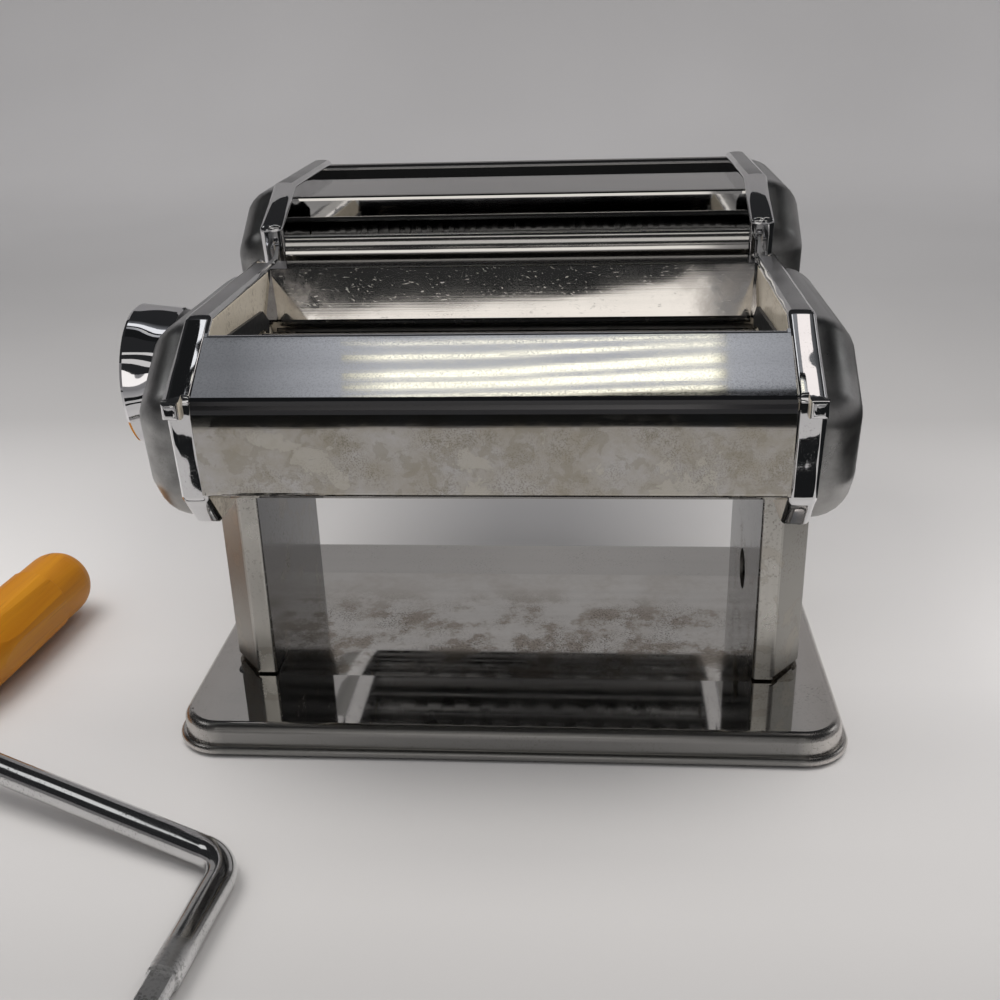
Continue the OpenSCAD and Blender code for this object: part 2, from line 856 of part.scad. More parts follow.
module gap_cam() {
  steps = ceil((select_turn + 2 * scroll_run) / scroll_step);
  turns = [for (k = [0 : steps]) -scroll_run + (select_turn + 2 * scroll_run) * k / steps];
  color("darkgray") difference() {
    on_left() bar_x(cam_x0, cam_x0 + cam_t, spindle_at, cam_r);
    on_left() bar_x(cam_x0 - over, cam_x0 + cam_t + over, spindle_at, spindle_r + press);
    translate([0, spindle_at[0], spindle_at[1]]) along_x(-cam_x0 - cam_t - over, -cam_x0 + over)
      polygon(concat(
        [for (t = turns) scroll(t, 1)],
        [for (i = [steps : -1 : 0]) scroll(turns[i], -1)]
      ));
  }
}

module spindle_retainer() {
  color("gray") on_left() {
    bar_x(washer_x, washer_x + washer_t, spindle_at, spring_r + 2);
    bar_x(washer_x + washer_t, washer_x + washer_t + 0.8, spindle_at, 3.5);
  }
}

// Half section of the knob as (radius, distance from its inner face)
knob_section = [
  [spindle_r + run, knob_web0 - 1], [knob_hub_r, knob_web0 - 1], [knob_hub_r, knob_web0],
  [knob_r - knob_taper - knob_rim, knob_web0], [knob_r - knob_taper - knob_rim, 0],
  [knob_r - knob_taper - 0.6, 0], [knob_r - knob_taper, 0.6],
  [knob_r, knob_len - 1.2], [knob_r - 0.35, knob_len - 0.35], [knob_r - 1.2, knob_len],
  [knob_r - knob_rim, knob_len], [knob_r - knob_rim, knob_web1], [spindle_r + run, knob_web1]
];

module gap_knob() {
  color("white") on_left() difference() {
    translate([knob_x0, gap_y, roller_z]) rotate([0, 90, 0]) rotate_extrude() polygon(knob_section);
    bar_x(knob_x0 - over, spring_x0 + over, spindle_at + polar(index_r, 90), detent_r + press);
  }
}

module detent_pin() {
  color("gray") on_left() bar_x(plate_x + free, spring_x0, spindle_at + polar(index_r, 90), detent_r);
}

module knob_cover() {
  color("white") on_left() bar_x(knob_x1 - 1.4, knob_x1 - 0.4, spindle_at, knob_r - knob_rim - press);
}

// Coil spring as one tube of six-sided rings
module knob_spring() {
  sides = 6;
  rings = 8;
  count = round(spring_turns * rings);
  inner = spring_len - spring_wire - 0.1;
  echo(spring_gap = spring_gap);
  points = [
    for (i = [0 : count])
      let(a = 360 * i / rings, h = spring_x0 + (spring_wire + 0.1) / 2 + inner * i / count)
      for (j = [0 : sides - 1])
        let(q = polar(spring_wire / 2, 360 * j / sides))
        [h + q[1], (spring_r + q[0]) * cos(a), (spring_r + q[0]) * sin(a)]
  ];
  skin = [
    for (i = [0 : count - 1], j = [0 : sides - 1])
      let(a = i * sides + j, b = i * sides + (j + 1) % sides)
      each [[a, b, a + sides], [b, b + sides, a + sides]]
  ];
  ends = [
    for (j = [1 : sides - 2]) each [[0, j + 1, j], [count * sides, count * sides + j, count * sides + j + 1]]
  ];
  color("silver") on_left() translate([0, gap_y, roller_z]) polyhedron(points, concat(skin, ends));
}

module cutter_frame() {
  difference() {
    union() {
      tray(cut_outline);
      translate([rim_mid - tongue_neck, tongue_y0, tongue_z0])
        cube([2 * tongue_neck, tongue_root - tongue_y0, tongue_z1 - tongue_z0]);
      translate([rim_mid - tongue_head, tongue_y0, tongue_z0])
        cube([2 * tongue_head, tongue_y1 - tongue_y0 - slip, tongue_z1 - tongue_z0]);
    }
    for (y = cutter_axes) bar_x(body_in - over, web_x + over, [y, cutter_z], bush_r + press);
    for (p = cut_tie_points) bar_x(body_in - over, web_x + over, p, rod_r + press);
  }
}

module cutter_left_frame() {
  color("whitesmoke") on_left() cutter_frame();
}

module cutter_right_frame() {
  color("whitesmoke") cutter_frame();
}

module cutter_left_cap() {
  color("lightgray") on_left() cap_shell(cut_cap);
}

module cutter_right_cap() {
  color("lightgray") difference() {
    cap_shell(cut_cap);
    for (y = [narrow_drive_y, wide_drive_y]) bar_x(rim_x, cap_x + over, [y, cutter_z], journal_r + 1.5);
  }
}

// Corners of the cutter head's sheets, measured from its middle and from the cutter axes
front_bar_run = [[-29, 11.2], [-47.5, 17], [-50.6, 18], [-53.1, 11.5], [-49, -13.5], [-43, -22]];
divider_run = [[18.5, 11.6], [9.5, 21], [9.5, 27.6], [-32.5, 27.6], [-32.5, 19], [-21, 11.6]];
rear_cover_run = [[43, -22], [49, -13.5], [52.4, 11.5], [53.6, 20.5], [31, 30.6], [27, 30], [30, 11.6]];

module cutter_sheet(run) {
  path = bent([for (p = run) [cut_mid, cutter_z] + p], cover_bend, 3);
  along_x(-body_in, body_in) polygon(sheet(path, cover_t));
}

module cutter_front_bar() {
  color("lightgray") cutter_sheet(front_bar_run);
}

module cutter_divider() {
  color("gainsboro") cutter_sheet(divider_run);
}

module cutter_rear_cover() {
  color("lightgray") cutter_sheet(rear_cover_run);
}

module cutter_tie_rods() {
  color("gray") for (p = cut_tie_points) tie_rod(p);
}

module cutter_nuts() {
  color("gray") both_ends() for (p = cut_tie_points) hex_nut(p);
}

module cutter_bushes() {
  color("goldenrod") both_ends() for (y = cutter_axes) flanged_bush([y, cutter_z]);
}

// Rings of one cutter roller: a ring every two strand widths, moved along by shift strands
module ringed_roller(y, strand, shift, right_x) {
  pairs = floor(roller_len / (2 * strand)) - 1;
  first = -pairs * strand + shift * strand;
  color("silver") {
    roller_shaft([y, cutter_z], web_x + flange_t, right_x, core_r);
    for (k = [0 : pairs - 1])
      translate([first + 2 * k * strand, 0, 0])
        bar_x(ring_clear, strand - ring_clear, [y, cutter_z], ring_r);
  }
}

module narrow_drive_roller() {
  difference() {
    ringed_roller(narrow_drive_y, narrow_w, 0, shaft_x);
    socket([narrow_drive_y, cutter_z]);
  }
}

module narrow_driven_roller() {
  ringed_roller(narrow_driven_y, narrow_w, 1, gear_x + gear_w);
}

module wide_drive_roller() {
  difference() {
    ringed_roller(wide_drive_y, wide_w, 0, shaft_x);
    socket([wide_drive_y, cutter_z]);
  }
}

module wide_driven_roller() {
  ringed_roller(wide_driven_y, wide_w, 1, gear_x + gear_w);
}

module cutter_gear(y, first) {
  gear([y, cutter_z], cutter_module, cutter_teeth, first);
}

module narrow_drive_gear() {
  cutter_gear(narrow_drive_y, 0);
}

module narrow_driven_gear() {
  cutter_gear(narrow_driven_y, 180 + 180 / cutter_teeth);
}

module wide_drive_gear() {
  cutter_gear(wide_drive_y, 180);
}

module wide_driven_gear() {
  cutter_gear(wide_driven_y, 180 / cutter_teeth);
}

// Stripper comb under one cutter roller, its fingers in the grooves between the rings
module comb(y, strand, shift, angle) {
  finger_t = 1.6;
  back_t = 3;
  pairs = floor(roller_len / (2 * strand)) - 1;
  first = -pairs * strand + shift * strand;
  translate([0, y, cutter_z]) rotate([angle, 0, 0]) {
    translate([-body_in, ring_r + 0.8, -finger_t / 2]) cube([2 * body_in, back_t, finger_t]);
    for (k = [0 : pairs - 1])
      translate([first + (2 * k + 1) * strand + 2 * ring_clear + free / 2, core_r + 0.35, -finger_t / 2])
        cube([strand - 4 * ring_clear - free, ring_r - core_r + 0.6, finger_t]);
  }
}

module narrow_combs() {
  color("lightsteelblue") {
    comb(narrow_drive_y, narrow_w, 0, -82);
    comb(narrow_driven_y, narrow_w, 1, -98);
  }
}

module wide_combs() {
  color("lightsteelblue") {
    comb(wide_driven_y, wide_w, 1, -82);
    comb(wide_drive_y, wide_w, 0, -98);
  }
}

// Crank's own plane: grip along X, arm along Y, with zero at the lower bend
module crank_plane() {
  translate([crank_at[0], crank_at[1], crank_r + 0.1])
    rotate([0, 0, crank_heading]) rotate([crank_tilt, 0, 0]) children();
}

// Straight stretch of the rod along X, lapped into its neighbours; what follows starts at its end
module rod_run(length, r, past = 0) {
  translate([-lap, 0, 0]) rotate([0, 90, 0]) cylinder(h = lap + length + past, r = r);
  translate([length, 0, 0]) children();
}

// Bend of the rod to the left; what follows starts at its end
module bend_left(turn) {
  translate([0, crank_bend, 0]) {
    rotate([0, 0, -90]) rotate_extrude(angle = turn)
      translate([crank_bend, 0]) circle(crank_r + bend_swell);
    rotate([0, 0, turn]) translate([0, -crank_bend, 0]) children();
  }
}

module bend_right(turn) {
  mirror([0, 1, 0]) bend_left(turn) mirror([0, 1, 0]) children();
}

module crank_rod() {
  trim = crank_bend * tan(arm_angle / 2);
  shoulder = 4;
  spindle_len = grip_len - grip_r + shoulder;
  end_r = crank_r - 0.6;
  color("silver") crank_plane() translate([-crank_leg, 0, 0]) difference() {
    rod_run(crank_end, end_r, lap)
      rod_run(crank_leg - crank_end - trim, crank_r, lap)
        bend_left(arm_angle)
          rod_run(arm_len - 2 * trim, crank_r, lap)
            bend_right(arm_angle)
              rod_run(grip_off - shoulder - trim, crank_r)
                rod_run(spindle_len, spindle_wire);
    translate([-over, -crank_d, end_r - crank_flat]) cube([crank_end + over, 2 * crank_d, crank_d]);
  }
}

// Half section of the turned grip as (radius, distance along it), with a recess for its washer
grip_bore = spindle_wire + 2 * run;
grip_neck = 10;
grip_shoulder = 23;
grip_step = 1;
tip_round = 9;
recess_r = grip_bore + 3;
seat_l = grip_len - grip_r;
tip_r = grip_r - grip_step;
swell_steps = 8;
tip_steps = 6;
grip_section = concat(
  [[grip_bore, 0], [grip_neck - 1, 0]],
  [for (k = [0 : swell_steps])
    let(s = k / swell_steps)
    [grip_neck + (grip_r - grip_neck) * sin(90 * s), 1.5 + 0.5 * (grip_len - grip_shoulder) * s]],
  [[grip_r - 0.2, grip_len - grip_shoulder - grip_step], [tip_r, grip_len - grip_shoulder]],
  [for (k = [0 : tip_steps])
    let(a = 90 * k / tip_steps)
    [recess_r + (tip_r - recess_r) * cos(a), grip_len + tip_round * (sin(a) - 1)]],
  [[recess_r, seat_l - free], [grip_bore, seat_l - free]]
);

module grip_place() {
  crank_plane() translate([crank_rake + grip_off, crank_throw, 0]) rotate([0, 90, 0]) children();
}

module crank_grip() {
  sides = 8;
  corner_r = grip_flats / 2 / cos(180 / sides);
  color("peru") grip_place() intersection() {
    rotate_extrude() polygon(grip_section);
    translate([0, 0, -over]) rotate(180 / sides)
      cylinder(h = grip_len + 2 * over, r = corner_r, $fn = sides);
  }
}

// Wooden plug that closes the tip over the washer
module grip_plug() {
  plug_l = 6;
  plug_r = recess_r - press;
  plug_dome = 1.4;
  color("peru") grip_place() rotate_extrude() polygon(concat(
    [[0, grip_len - plug_l], [plug_r, grip_len - plug_l]],
    [for (k = [0 : tip_steps]) let(a = 90 * k / tip_steps) [plug_r * cos(a), grip_len + plug_dome * sin(a)]]
  ));
}

module grip_retainer() {
  color("gray") grip_place() translate([0, 0, seat_l]) {
    cylinder(h = 1, r = recess_r - free);
    cylinder(h = 3, r = grip_bore);
  }
}

base_plate();
base_feet();
stand_web();
left_leg();
right_leg();
stand_screws();
left_end_frame();
right_end_frame();
left_end_cap();
right_end_cap();
front_cover();
hopper_plate();
rear_cover();
dough_guides();
tie_rods();
tie_rod_nuts();
front_scraper();
drive_bushes();
drive_roller();
drive_gear();
left_bearing_block();
right_bearing_block();
carriage_bar();
rear_scraper();
gap_bushes();
gap_roller();
gap_gear();
spindle_bush();
index_plate();
gap_spindle();
gap_cam();
spindle_retainer();
gap_knob();
detent_pin();
knob_cover();
knob_spring();
cutter_left_frame();
cutter_right_frame();
cutter_left_cap();
cutter_right_cap();
cutter_front_bar();
cutter_divider();
cutter_rear_cover();
cutter_tie_rods();
cutter_nuts();
cutter_bushes();
narrow_drive_roller();
narrow_driven_roller();
narrow_drive_gear();
narrow_driven_gear();
wide_drive_roller();
wide_driven_roller();
wide_drive_gear();
wide_driven_gear();
narrow_combs();
wide_combs();
crank_rod();
crank_grip();
grip_plug();
grip_retainer();
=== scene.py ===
"""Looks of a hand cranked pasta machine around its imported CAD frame. Metres, in the CAD's own frame."""

import json
import math

import bmesh
import bpy
from mathutils import Matrix, Vector
from mathutils.geometry import convex_hull_2d, intersect_point_line


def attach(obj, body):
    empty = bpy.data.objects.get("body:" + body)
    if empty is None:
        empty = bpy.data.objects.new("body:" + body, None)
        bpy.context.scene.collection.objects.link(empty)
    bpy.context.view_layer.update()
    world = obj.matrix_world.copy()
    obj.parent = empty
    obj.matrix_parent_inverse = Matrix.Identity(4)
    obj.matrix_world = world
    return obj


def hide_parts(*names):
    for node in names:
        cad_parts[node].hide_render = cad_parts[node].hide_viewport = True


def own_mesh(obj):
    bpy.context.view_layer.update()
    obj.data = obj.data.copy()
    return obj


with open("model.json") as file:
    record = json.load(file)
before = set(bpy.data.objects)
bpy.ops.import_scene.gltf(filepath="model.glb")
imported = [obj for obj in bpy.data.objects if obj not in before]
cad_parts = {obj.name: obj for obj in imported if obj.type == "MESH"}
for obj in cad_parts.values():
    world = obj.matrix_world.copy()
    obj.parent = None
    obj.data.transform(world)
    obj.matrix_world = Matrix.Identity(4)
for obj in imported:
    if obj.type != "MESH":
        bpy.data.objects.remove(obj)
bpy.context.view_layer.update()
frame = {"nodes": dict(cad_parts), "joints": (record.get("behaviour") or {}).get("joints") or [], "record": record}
NODES = frame["nodes"]


# Materials


class Graph:
    """The node tree of one material, built from short calls. Coordinates are the CAD's, in metres."""

    def __init__(self, name):
        self.material = bpy.data.materials.new(name)
        self.material.use_nodes = True
        self.tree = self.material.node_tree
        self.tree.nodes.clear()
        out = self.add("ShaderNodeOutputMaterial")
        self.bsdf = self.add("ShaderNodeBsdfPrincipled")
        self.tree.links.new(self.bsdf.outputs[0], out.inputs["Surface"])
        self.where = self.add("ShaderNodeTexCoord").outputs["Object"]

    def add(self, kind, **settings):
        node = self.tree.nodes.new(kind)
        for key, value in settings.items():
            setattr(node, key, value)
        return node

    def put(self, socket, value):
        if isinstance(value, bpy.types.NodeSocket):
            self.tree.links.new(value, socket)
        else:
            socket.default_value = value

    def surface(self, **values):
        for key, value in values.items():
            self.put(self.bsdf.inputs[key.replace("_", " ")], value)

    def moved(self, place, turn):
        """Coordinates of a frame that sits at place, turned by turn."""
        node = self.add("ShaderNodeMapping", vector_type="TEXTURE")
        for key, value in {"Vector": self.where, "Location": place, "Rotation": turn}.items():
            self.put(node.inputs[key], value)
        return node.outputs[0]

    def stretched(self, scale, vector=None):
        node = self.add("ShaderNodeMapping", vector_type="POINT")
        self.put(node.inputs["Vector"], vector or self.where)
        self.put(node.inputs["Scale"], scale)
        return node.outputs[0]

    def noise(self, vector, scale, detail=3.0, roughness=0.55, distortion=0.0):
        node = self.add("ShaderNodeTexNoise")
        self.put(node.inputs["Vector"], vector)
        settings = {"Scale": scale, "Detail": detail, "Roughness": roughness, "Distortion": distortion}
        for key, value in settings.items():
            self.put(node.inputs[key], value)
        return node.outputs["Fac"]

    def axis(self, name, vector=None):
        node = self.add("ShaderNodeSeparateXYZ")
        self.put(node.inputs[0], vector or self.where)
        return node.outputs[name]

    def facing(self, name):
        return self.axis(name, self.add("ShaderNodeNewGeometry").outputs["True Normal"])

    def fit(self, value, low, high, to_low=0.0, to_high=1.0):
        node = self.add("ShaderNodeMapRange", clamp=True)
        for socket, number in zip(node.inputs, (value, low, high, to_low, to_high)):
            self.put(socket, number)
        return node.outputs[0]

    def calc(self, operation, a, b=0.0):
        node = self.add("ShaderNodeMath", operation=operation)
        self.put(node.inputs[0], a)
        self.put(node.inputs[1], b)
        return node.outputs[0]

    def both(self, *shares):
        product = shares[0]
        for share in shares[1:]:
            product = self.calc("MULTIPLY", product, share)
        return product

    def blend(self, share, a, b):
        node = self.add("ShaderNodeMix", data_type="RGBA")
        self.put(node.inputs["Factor"], share)
        self.put(node.inputs["A"], a if isinstance(a, bpy.types.NodeSocket) else (*a, 1))
        self.put(node.inputs["B"], b if isinstance(b, bpy.types.NodeSocket) else (*b, 1))
        return node.outputs["Result"]

    def mix(self, share, a, b):
        node = self.add("ShaderNodeMix", data_type="FLOAT")
        self.put(node.inputs["Factor"], share)
        self.put(node.inputs["A"], a)
        self.put(node.inputs["B"], b)
        return node.outputs["Result"]

    def bump(self, height, strength, distance, over=None):
        """Sets the surface's relief, laid over an earlier one where there is one."""
        node = self.add("ShaderNodeBump")
        self.put(node.inputs["Strength"], strength)
        self.put(node.inputs["Distance"], distance)
        self.put(node.inputs["Height"], height)
        if over:
            self.put(node.inputs["Normal"], over)
        self.put(self.bsdf.inputs["Normal"], node.outputs[0])
        return node.outputs[0]


def shade(tint, factor):
    return tuple(channel * factor for channel in tint)


class Metal(Graph):
    """A metal whose tone, shine and relief are built up in layers: brushing, stains, specks, scratches."""

    def __init__(self, name, tint, rough, along="X", streak=0.05):
        super().__init__(name)
        self.tint = tint
        self.lines = self.noise(self.stretched([1500 if a != along else 10 for a in "XYZ"]), 1.0, 2)
        bands = self.noise(self.stretched([170 if a != along else 4 for a in "XYZ"]), 1.0, 3)
        cloud = self.noise(self.where, 36, 4, 0.6)
        self.tone = self.blend(self.fit(bands, 0.3, 0.7), shade(tint, 1 - streak), shade(tint, 1 + streak))
        self.shine = self.fit(cloud, 0.3, 0.75, rough * 0.7, rough * 1.5)
        self.bare = 1.0

    def layer(self, share, colour, rough, oxide=0.0):
        """Lays a film of one colour and roughness over the metal, where share says."""
        self.tone = self.blend(share, self.tone, colour)
        self.shine = self.mix(share, self.shine, rough)
        if oxide:
            self.bare = self.mix(share, self.bare, 1 - oxide)

    def stains(self, scale, level, colour, rough, amount, only=None, edge=0.7):
        """Water stains: a dull film with an uneven border and a darker rim."""
        film = self.noise(self.where, scale, 6, 0.62, 0.5)
        inside = self.fit(film, level, level + 0.02, 0.0, amount)
        rim = self.both(self.fit(film, level - 0.012, level), self.fit(film, level + 0.02, level + 0.006))
        rim = self.calc("MULTIPLY", rim, edge * amount)
        if only:
            inside, rim = self.both(inside, only), self.both(rim, only)
        self.layer(inside, colour, rough)
        self.layer(rim, shade(colour, 0.5), rough)

    def specks(self, scale, level, amount, colour, only=None, rough=0.4):
        """Fine dark specks, gathered in patches."""
        patch = self.fit(self.noise(self.where, 60, 4, 0.6), 0.42, 0.62)
        speck = self.fit(self.noise(self.where, scale, 2), level, level + 0.05, 0.0, amount)
        share = self.both(patch, speck) if only is None else self.both(patch, speck, only)
        self.layer(share, colour, rough)

    def scratches(self, turn, amount):
        """Long hairlines in one slanting direction."""
        slanted = self.moved((0, 0, 0), turn)
        hair = self.noise(self.stretched((14, 1900, 1900), slanted), 1.0, 1)
        self.layer(self.fit(hair, 0.70, 0.74, 0.0, amount), shade(self.tint, 1.25), 0.35)

    def finish(self, brushing=0.10, waves=0.0, wave_scale=130):
        """Sets the surface, with slow waves of a given height in metres under the fine brushing."""
        self.surface(Base_Color=self.tone, Metallic=self.bare, Roughness=self.shine)
        under = self.bump(self.noise(self.where, wave_scale, 0), 1.0, waves) if waves else None
        self.bump(self.lines, brushing, 0.00005, under)
        return self.material


def front_cover_steel():
    """Polished above the crease, with a beige water stained film below it and painted dark shade along the crease.
    """
    g = Metal("cover_steel", (0.62, 0.63, 0.665), 0.028)
    below = g.fit(g.facing("Z"), 0.05, -0.02)
    film = g.fit(g.noise(g.where, 90, 6, 0.7), 0.3, 0.65, 0.45, 1.0)
    g.layer(g.both(below, film), (0.41, 0.382, 0.325), 0.03)
    g.stains(170, 0.55, (0.33, 0.305, 0.25), 0.05, 0.45, below, 0.1)
    g.stains(75, 0.57, (0.54, 0.52, 0.465), 0.06, 0.7, below, 0.2)
    g.specks(2400, 0.52, 0.5, (0.19, 0.17, 0.13), below, 0.05)
    above = g.fit(g.facing("Z"), 0.70, 0.76)
    grain = g.fit(g.noise(g.where, 1900, 3, 0.7), 0.45, 0.7, 0.0, 0.45)
    g.layer(g.both(above, grain), (0.40, 0.41, 0.44), 0.10)
    # Painted shade: a dark band along the crease between the two facets
    painted_crease = g.both(g.fit(g.facing("Z"), 0.0, 0.04), g.fit(g.facing("Z"), 0.78, 0.72))
    g.layer(painted_crease, (0.065, 0.065, 0.068), 0.12)
    return g.finish(0.012, 0.00003, 40)


def web_steel():
    """Bright sheet with brown blotches towards the front."""
    g = Metal("web_steel", (0.745, 0.735, 0.71), 0.05)
    front = g.fit(g.axis("Y"), 0.024, 0.004)
    haze = g.fit(g.noise(g.where, 70, 6, 0.7), 0.42, 0.7, 0.0, 0.55)
    g.layer(haze, (0.54, 0.50, 0.45), 0.10)
    blotch = g.fit(g.noise(g.where, 75, 7, 0.72), 0.49, 0.58, 0.0, 0.75)
    g.layer(g.both(front, blotch), (0.37, 0.32, 0.265), 0.12)
    g.specks(1700, 0.52, 0.55, (0.18, 0.15, 0.12), front)
    return g.finish(0.02)


def hopper_steel():
    """Polished sheet, scratched by use and dulled at its ends."""
    g = Metal("hopper_steel", (0.68, 0.66, 0.63), 0.045)
    ends = g.fit(g.calc("ABSOLUTE", g.axis("X")), 0.050, 0.068)
    dulled = g.fit(g.noise(g.where, 120, 6, 0.7), 0.40, 0.62, 0.0, 0.6)
    g.layer(g.both(ends, dulled), (0.50, 0.46, 0.43), 0.20)
    g.scratches((0, 0, math.radians(12)), 0.5)
    g.scratches((0, math.radians(20), math.radians(-25)), 0.4)
    return g.finish(0.03, 0.00006, 45)


def cutter_steel():
    """Clean polished sheet on the cutter head."""
    g = Metal("cutter_steel", (0.55, 0.545, 0.53), 0.04)
    g.layer(g.fit(g.facing("Z"), 0.9, 0.99), (0.33, 0.325, 0.32), 0.08)
    return g.finish(0.02, 0.00003, 60)


def leg_steel():
    """Satin folded sheet, brushed upright, with painted shade on the faces turned inwards."""
    g = Metal("leg_steel", (0.56, 0.545, 0.51), 0.30, "Z", 0.08)
    # Painted shade on the faces turned inwards, between the two legs
    inward = g.fit(g.calc("MULTIPLY", g.axis("X"), g.facing("X")), -0.05, -0.07)
    g.layer(inward, (0.29, 0.29, 0.29), 0.14)
    outward = g.fit(g.calc("MULTIPLY", g.axis("X"), g.facing("X")), 0.03, 0.045)
    g.layer(outward, (0.38, 0.37, 0.345), 0.46)
    g.stains(85, 0.58, (0.40, 0.36, 0.30), 0.35, 0.35)
    g.specks(1300, 0.58, 0.5, (0.14, 0.12, 0.10))
    return g.finish(0.08)


def frame_chrome():
    """Bright plating on the bands, satin on the flat tops and a pale worn face towards the rollers."""
    g = Metal("frame_chrome", (0.74, 0.74, 0.75), 0.035, streak=0.02)
    g.layer(g.fit(g.facing("Z"), 0.97, 0.99), (0.45, 0.452, 0.46), 0.28)
    inward = g.fit(g.calc("MULTIPLY", g.axis("X"), g.facing("X")), -0.065, -0.075)
    inward = g.both(inward, g.fit(g.axis("Y"), 0.026, 0.018))
    g.layer(inward, (0.95, 0.85, 0.69), 0.28, 0.75)
    g.specks(900, 0.54, 0.45, (0.40, 0.32, 0.22), inward)
    g.specks(2300, 0.62, 0.4, (0.10, 0.09, 0.09))
    return g.finish(0.02, 0.0006, 75)


CREASE_Z = 0.1195


def cap_satin():
    """Satin domes, brushed level, with a painted highlight along the crease and painted lighter reflection towards
    the bottom.
    """
    g = Metal("cap_satin", (0.32, 0.32, 0.316), 0.36, "Y", 0.22)
    # Painted highlight along the crease at the front of the dome
    off_crease = g.calc("ABSOLUTE", g.calc("SUBTRACT", g.axis("Z"), CREASE_Z))
    painted_crease = g.both(g.fit(off_crease, 0.007, 0.001, 0.0, 0.8), g.fit(g.axis("Y"), -0.055, -0.070))
    wear_and_painted_highlight = g.both(painted_crease, g.fit(g.noise(g.where, 110, 4, 0.6), 0.3, 0.6))
    g.layer(wear_and_painted_highlight, (0.66, 0.655, 0.65), 0.34)
    # Painted reflection: lighter towards the bottom of the dome
    g.layer(g.fit(g.axis("Z"), 0.100, 0.086, 0.0, 0.6), (0.42, 0.41, 0.395), 0.38)
    g.layer(g.fit(g.facing("Z"), 0.75, 0.97), (0.36, 0.365, 0.37), 0.28)
    g.specks(1700, 0.60, 0.3, (0.16, 0.15, 0.14))
    return g.finish(0.12)


def base_polish():
    """Mirror polished top, satin rim and a warm film at the ends."""
    g = Metal("base_polish", (0.66, 0.65, 0.63), 0.04, streak=0.02)
    g.layer(g.fit(g.facing("Z"), 0.985, 0.95), (0.27, 0.267, 0.26), 0.28)
    outer = g.fit(g.calc("ABSOLUTE", g.axis("X")), 0.088, 0.098, 0.0, 0.8)
    wear_and_painted_highlight = g.fit(g.noise(g.where, 30, 4), 0.25, 0.6, 0.5, 1.0)
    g.layer(g.both(outer, wear_and_painted_highlight), (0.78, 0.745, 0.71), 0.26)
    g.specks(1500, 0.60, 0.35, (0.15, 0.14, 0.12))
    return g.finish(0.03)


def plated(name, tint, rough, waves, wave_scale):
    """Chrome plate with slow waves."""
    return Metal(name, tint, rough, streak=0.02).finish(0.02, waves, wave_scale)


def bar_steel():
    """Polished bar, with painted shade below its fold."""
    g = Metal("bar_steel", (0.58, 0.57, 0.55), 0.085, streak=0.02)
    # Painted shade on the faces turned down below the fold
    g.layer(g.fit(g.facing("Z"), 0.12, 0.0), (0.20, 0.19, 0.18), 0.20)
    return g.finish(0.02, 0.00004, 70)


def crank_chrome():
    """Pitted chrome rod with a dull flattened end."""
    g = Metal("crank_chrome", (0.64, 0.64, 0.64), 0.12, streak=0.02)
    g.specks(1700, 0.58, 0.5, (0.08, 0.08, 0.08))
    flats = g.fit(g.axis("Y"), -0.150, -0.155)
    g.layer(flats, (0.85, 0.85, 0.85), 0.45)
    g.specks(1200, 0.52, 0.6, (0.20, 0.20, 0.20), flats)
    return g.finish(0.02, 0.0002, 70)


def ground_steel(name, tint, rough):
    """Turned or ground metal of the rollers, gears, bushes and other inner pieces."""
    g = Metal(name, tint, rough, streak=0.08)
    g.stains(80, 0.60, shade(tint, 0.6), rough + 0.15, 0.4)
    return g.finish(0.12)


GRIP = next(joint for joint in frame["joints"] if joint["name"] == "grip_spin")


def wood():
    """Varnished honey coloured wood, its grain along the grip, with one long drying crack."""
    g = Graph("grip_wood")
    axis = GRIP["axis"]
    own = g.moved(GRIP["pos_m"], (0, 0, math.atan2(axis[1], axis[0]) - math.pi / 2))
    grain = g.noise(g.stretched((230, 8, 230), own), 1.0, 4, 0.6, 0.6)
    pores = g.noise(g.stretched((1400, 40, 1400), own), 1.0, 2)
    wander = g.noise(g.stretched((90, 60, 90), own), 1.0, 2)
    tone = g.blend(g.fit(grain, 0.3, 0.7), (0.50, 0.175, 0.003), (0.64, 0.265, 0.005))
    tone = g.blend(g.fit(pores, 0.62, 0.75, 0.0, 0.4), tone, (0.27, 0.085, 0.003))
    line = g.calc("ADD", g.axis("X", own), g.fit(wander, 0.2, 0.8, -0.0016, 0.0016))
    crack = g.both(
        g.fit(g.calc("ABSOLUTE", g.calc("ADD", line, 0.0015)), 0.00045, 0.0001),
        g.fit(g.axis("Z", own), 0.002, 0.004),
        g.fit(g.axis("Y", own), 0.030, 0.036),
        g.fit(g.axis("Y", own), 0.062, 0.054),
    )
    g.surface(
        Base_Color=g.blend(crack, tone, (0.10, 0.035, 0.008)),
        Roughness=g.fit(grain, 0.3, 0.7, 0.42, 0.55),
        Specular_IOR_Level=0.3,
        Coat_Weight=0.08,
        Coat_Roughness=0.2,
    )
    g.bump(g.calc("SUBTRACT", g.mix(0.5, grain, pores), crack), 0.15, 0.0002)
    return g.material


def dull(name, tint, rough):
    """Rubber or moulded plastic with a fine grain."""
    g = Graph(name)
    grain = g.noise(g.where, 700, 3)
    g.surface(
        Base_Color=g.blend(grain, shade(tint, 0.8), shade(tint, 1.2)),
        Roughness=g.fit(grain, 0.3, 0.7, rough * 0.85, rough * 1.1),
    )
    g.bump(grain, 0.25, 0.0002)
    return g.material


